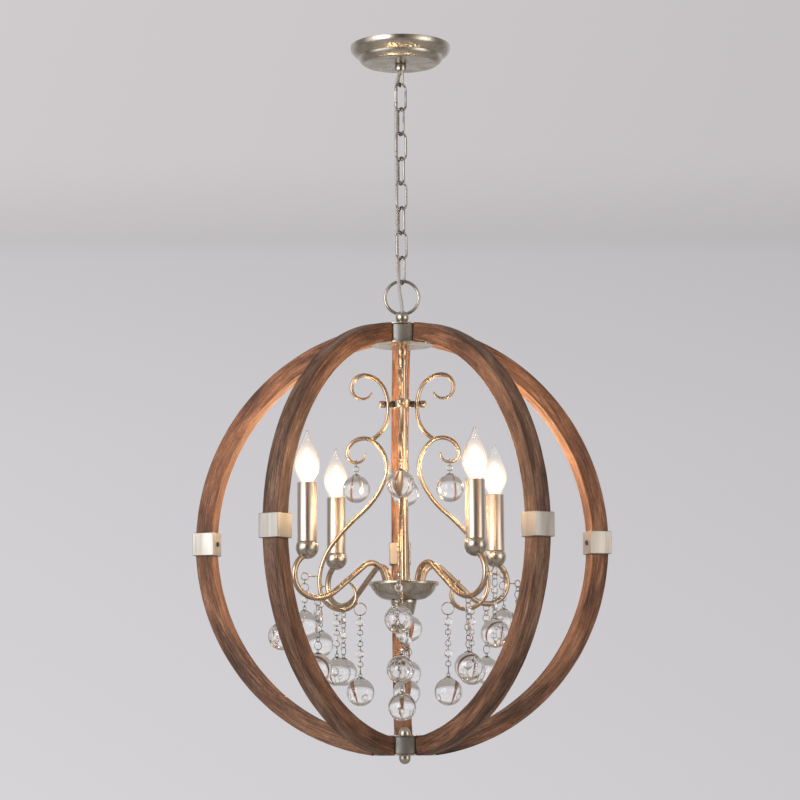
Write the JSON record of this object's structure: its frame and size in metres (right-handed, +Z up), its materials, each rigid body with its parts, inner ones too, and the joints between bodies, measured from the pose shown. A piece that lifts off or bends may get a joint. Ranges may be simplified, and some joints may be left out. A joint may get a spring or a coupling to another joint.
{
  "type": "orb chandelier",
  "caption": "Hanging wooden orb of curved ribs around candle lamps on scrolled metal arms, with crystal drops, chain and ceiling plate.",
  "frame": {"origin": "middle of the ceiling plate's rim plane, where the crossbar meets the ceiling", "axes": "+Z up into the ceiling, -Y towards the viewer, +X to the viewer's right"},
  "size_m": [0.5863, 0.5608, 0.9972],
  "materials": {
    "silver": "antique silver, satin with a warm cast",
    "zinc": "zinc plated",
    "chain": "nickel grey, satin",
    "flex": "clear sleeve over silver wire",
    "drum": "grey satin",
    "wood": "weathered brown, open grain",
    "clamp": "pale silver, satin",
    "screw": "dark steel",
    "sleeve": "antique silver paint",
    "socket": "plain off-white",
    "bulb": "clear, with a warm filament",
    "crystal": "clear cut crystal on silver rings"
  },
  "bodies": {
    "ceiling_mount": {"crossbar": "zinc", "canopy": "silver", "canopy_loop": "silver", "supply_cord": "flex"},
    "link_1": {"link_1": "chain"},
    "link_2": {"link_2": "chain"},
    "link_3": {"link_3": "chain"},
    "link_4": {"link_4": "chain"},
    "link_5": {"link_5": "chain"},
    "link_6": {"link_6": "chain"},
    "link_7": {"link_7": "chain"},
    "link_8": {"link_8": "chain"},
    "orb": {"orb_ring": "silver", "ball_collar": "silver", "lock_nuts": "zinc", "hub_discs": "silver", "hub_drums": "drum", "rib_1": "wood", "rib_2": "wood", "rib_3": "wood", "rib_4": "wood", "rib_5": "wood", "clamps": "clamp", "wood_screws": "screw", "bottom_finial": "silver", "bottom_cap_nut": "silver", "stem": "silver", "scroll_collar": "silver", "scroll_bolts": "silver", "dish": "silver", "dish_cap": "silver", "scrolls": "silver", "arms": "silver", "candle_cups": "silver", "candle_sleeves": "sleeve", "lamp_sockets": "socket"},
    "bulb_1": {"bulb_1": "bulb"},
    "bulb_2": {"bulb_2": "bulb"},
    "bulb_3": {"bulb_3": "bulb"},
    "bulb_4": {"bulb_4": "bulb"},
    "top_drop_1": {"top_drop_1": "crystal"},
    "top_drop_2": {"top_drop_2": "crystal"},
    "top_drop_3": {"top_drop_3": "crystal"},
    "top_drop_4": {"top_drop_4": "crystal"},
    "scroll_strands_1": {"scroll_strands_1": "crystal"},
    "scroll_strands_2": {"scroll_strands_2": "crystal"},
    "scroll_strands_3": {"scroll_strands_3": "crystal"},
    "scroll_strands_4": {"scroll_strands_4": "crystal"},
    "scroll_tip_strand_1": {"scroll_tip_strand_1": "crystal"},
    "scroll_tip_strand_2": {"scroll_tip_strand_2": "crystal"},
    "scroll_tip_strand_3": {"scroll_tip_strand_3": "crystal"},
    "scroll_tip_strand_4": {"scroll_tip_strand_4": "crystal"},
    "arm_strand_1": {"arm_strand_1": "crystal"},
    "arm_strand_2": {"arm_strand_2": "crystal"},
    "arm_strand_3": {"arm_strand_3": "crystal"},
    "arm_strand_4": {"arm_strand_4": "crystal"},
    "arm_tip_strand_1": {"arm_tip_strand_1": "crystal"},
    "arm_tip_strand_2": {"arm_tip_strand_2": "crystal"},
    "arm_tip_strand_3": {"arm_tip_strand_3": "crystal"},
    "arm_tip_strand_4": {"arm_tip_strand_4": "crystal"}
  },
  "joints": [
    {"name": "link_1_swing", "type": "hinge", "parent": "ceiling_mount", "child": "link_1", "pos_m": [0, 0, -0.05705], "axis": [0.4695, -0.8829, 0], "range_deg": [-12, 12], "deforming": ["supply_cord"]},
    {"name": "link_2_swing", "type": "hinge", "parent": "link_1", "child": "link_2", "pos_m": [0, 0, -0.092], "axis": [0.8829, 0.4695, 0], "range_deg": [-12, 12]},
    {"name": "link_3_swing", "type": "hinge", "parent": "link_2", "child": "link_3", "pos_m": [0, 0, -0.1271], "axis": [-0.4695, 0.8829, 0], "range_deg": [-12, 12]},
    {"name": "link_4_swing", "type": "hinge", "parent": "link_3", "child": "link_4", "pos_m": [0, 0, -0.1622], "axis": [-0.8829, -0.4695, 0], "range_deg": [-12, 12]},
    {"name": "link_5_swing", "type": "hinge", "parent": "link_4", "child": "link_5", "pos_m": [0, 0, -0.1973], "axis": [0.4695, -0.8829, 0], "range_deg": [-12, 12]},
    {"name": "link_6_swing", "type": "hinge", "parent": "link_5", "child": "link_6", "pos_m": [0, 0, -0.2324], "axis": [0.8829, 0.4695, 0], "range_deg": [-12, 12]},
    {"name": "link_7_swing", "type": "hinge", "parent": "link_6", "child": "link_7", "pos_m": [0, 0, -0.2675], "axis": [-0.4695, 0.8829, 0], "range_deg": [-12, 12]},
    {"name": "link_8_swing", "type": "hinge", "parent": "link_7", "child": "link_8", "pos_m": [0, 0, -0.3026], "axis": [-0.8829, -0.4695, 0], "range_deg": [-12, 12]},
    {"name": "orb_swing", "type": "hinge", "parent": "link_8", "child": "orb", "pos_m": [0, 0, -0.3377], "axis": [0.4695, -0.8829, 0], "range_deg": [-12, 12]},
    {"name": "bulb_1_turn", "type": "hinge", "parent": "orb", "child": "bulb_1", "pos_m": [0.09517, -0.12862, -0.62334], "axis": [0, 0, 1], "range_deg": [0, 1080]},
    {"name": "bulb_2_turn", "type": "hinge", "parent": "orb", "child": "bulb_2", "pos_m": [0.12862, 0.09517, -0.62334], "axis": [0, 0, 1], "range_deg": [0, 1080]},
    {"name": "bulb_3_turn", "type": "hinge", "parent": "orb", "child": "bulb_3", "pos_m": [-0.09517, 0.12862, -0.62334], "axis": [0, 0, 1], "range_deg": [0, 1080]},
    {"name": "bulb_4_turn", "type": "hinge", "parent": "orb", "child": "bulb_4", "pos_m": [-0.12862, -0.09517, -0.62334], "axis": [0, 0, 1], "range_deg": [0, 1080]},
    {"name": "top_drop_1_swing", "type": "hinge", "parent": "orb", "child": "top_drop_1", "pos_m": [-0.00337, -0.06431, -0.58606], "axis": [-0.0523, -0.9986, 0], "range_deg": [-15, 15]},
    {"name": "top_drop_2_swing", "type": "hinge", "parent": "orb", "child": "top_drop_2", "pos_m": [0.06431, -0.00337, -0.58606], "axis": [0.9986, -0.0523, 0], "range_deg": [-15, 15]},
    {"name": "top_drop_3_swing", "type": "hinge", "parent": "orb", "child": "top_drop_3", "pos_m": [0.00337, 0.06431, -0.58606], "axis": [0.0523, 0.9986, 0], "range_deg": [-15, 15]},
    {"name": "top_drop_4_swing", "type": "hinge", "parent": "orb", "child": "top_drop_4", "pos_m": [-0.06431, 0.00337, -0.58606], "axis": [-0.9986, 0.0523, 0], "range_deg": [-15, 15]},
    {"name": "scroll_strands_1_swing", "type": "hinge", "parent": "orb", "child": "scroll_strands_1", "pos_m": [-0.00314, -0.05992, -0.79534], "axis": [-0.0523, -0.9986, 0], "range_deg": [-15, 15]},
    {"name": "scroll_strands_2_swing", "type": "hinge", "parent": "orb", "child": "scroll_strands_2", "pos_m": [0.05992, -0.00314, -0.79534], "axis": [0.9986, -0.0523, 0], "range_deg": [-15, 15]},
    {"name": "scroll_strands_3_swing", "type": "hinge", "parent": "orb", "child": "scroll_strands_3", "pos_m": [0.00314, 0.05992, -0.79534], "axis": [0.0523, 0.9986, 0], "range_deg": [-15, 15]},
    {"name": "scroll_strands_4_swing", "type": "hinge", "parent": "orb", "child": "scroll_strands_4", "pos_m": [-0.05992, 0.00314, -0.79534], "axis": [-0.9986, 0.0523, 0], "range_deg": [-15, 15]},
    {"name": "scroll_tip_strand_1_swing", "type": "hinge", "parent": "orb", "child": "scroll_tip_strand_1", "pos_m": [-0.00712, -0.13581, -0.74624], "axis": [-0.0523, -0.9986, 0], "range_deg": [-15, 15]},
    {"name": "scroll_tip_strand_2_swing", "type": "hinge", "parent": "orb", "child": "scroll_tip_strand_2", "pos_m": [0.13581, -0.00712, -0.74624], "axis": [0.9986, -0.0523, 0], "range_deg": [-15, 15]},
    {"name": "scroll_tip_strand_3_swing", "type": "hinge", "parent": "orb", "child": "scroll_tip_strand_3", "pos_m": [0.00712, 0.13581, -0.74624], "axis": [0.0523, 0.9986, 0], "range_deg": [-15, 15]},
    {"name": "scroll_tip_strand_4_swing", "type": "hinge", "parent": "orb", "child": "scroll_tip_strand_4", "pos_m": [-0.13581, 0.00712, -0.74624], "axis": [-0.9986, 0.0523, 0], "range_deg": [-15, 15]},
    {"name": "arm_strand_1_swing", "type": "hinge", "parent": "orb", "child": "arm_strand_1", "pos_m": [0.08506, -0.11495, -0.78634], "axis": [0.5948, -0.8039, 0], "range_deg": [-15, 15]},
    {"name": "arm_strand_2_swing", "type": "hinge", "parent": "orb", "child": "arm_strand_2", "pos_m": [0.11495, 0.08506, -0.78634], "axis": [0.8039, 0.5948, 0], "range_deg": [-15, 15]},
    {"name": "arm_strand_3_swing", "type": "hinge", "parent": "orb", "child": "arm_strand_3", "pos_m": [-0.08506, 0.11495, -0.78634], "axis": [-0.5948, 0.8039, 0], "range_deg": [-15, 15]},
    {"name": "arm_strand_4_swing", "type": "hinge", "parent": "orb", "child": "arm_strand_4", "pos_m": [-0.11495, -0.08506, -0.78634], "axis": [-0.8039, -0.5948, 0], "range_deg": [-15, 15]},
    {"name": "arm_tip_strand_1_swing", "type": "hinge", "parent": "orb", "child": "arm_tip_strand_1", "pos_m": [0.11897, -0.16077, -0.75124], "axis": [0.5948, -0.8039, 0], "range_deg": [-15, 15]},
    {"name": "arm_tip_strand_2_swing", "type": "hinge", "parent": "orb", "child": "arm_tip_strand_2", "pos_m": [0.16077, 0.11897, -0.75124], "axis": [0.8039, 0.5948, 0], "range_deg": [-15, 15]},
    {"name": "arm_tip_strand_3_swing", "type": "hinge", "parent": "orb", "child": "arm_tip_strand_3", "pos_m": [-0.11897, 0.16077, -0.75124], "axis": [-0.5948, 0.8039, 0], "range_deg": [-15, 15]},
    {"name": "arm_tip_strand_4_swing", "type": "hinge", "parent": "orb", "child": "arm_tip_strand_4", "pos_m": [-0.16077, -0.11897, -0.75124], "axis": [-0.8039, -0.5948, 0], "range_deg": [-15, 15]}
  ]
}
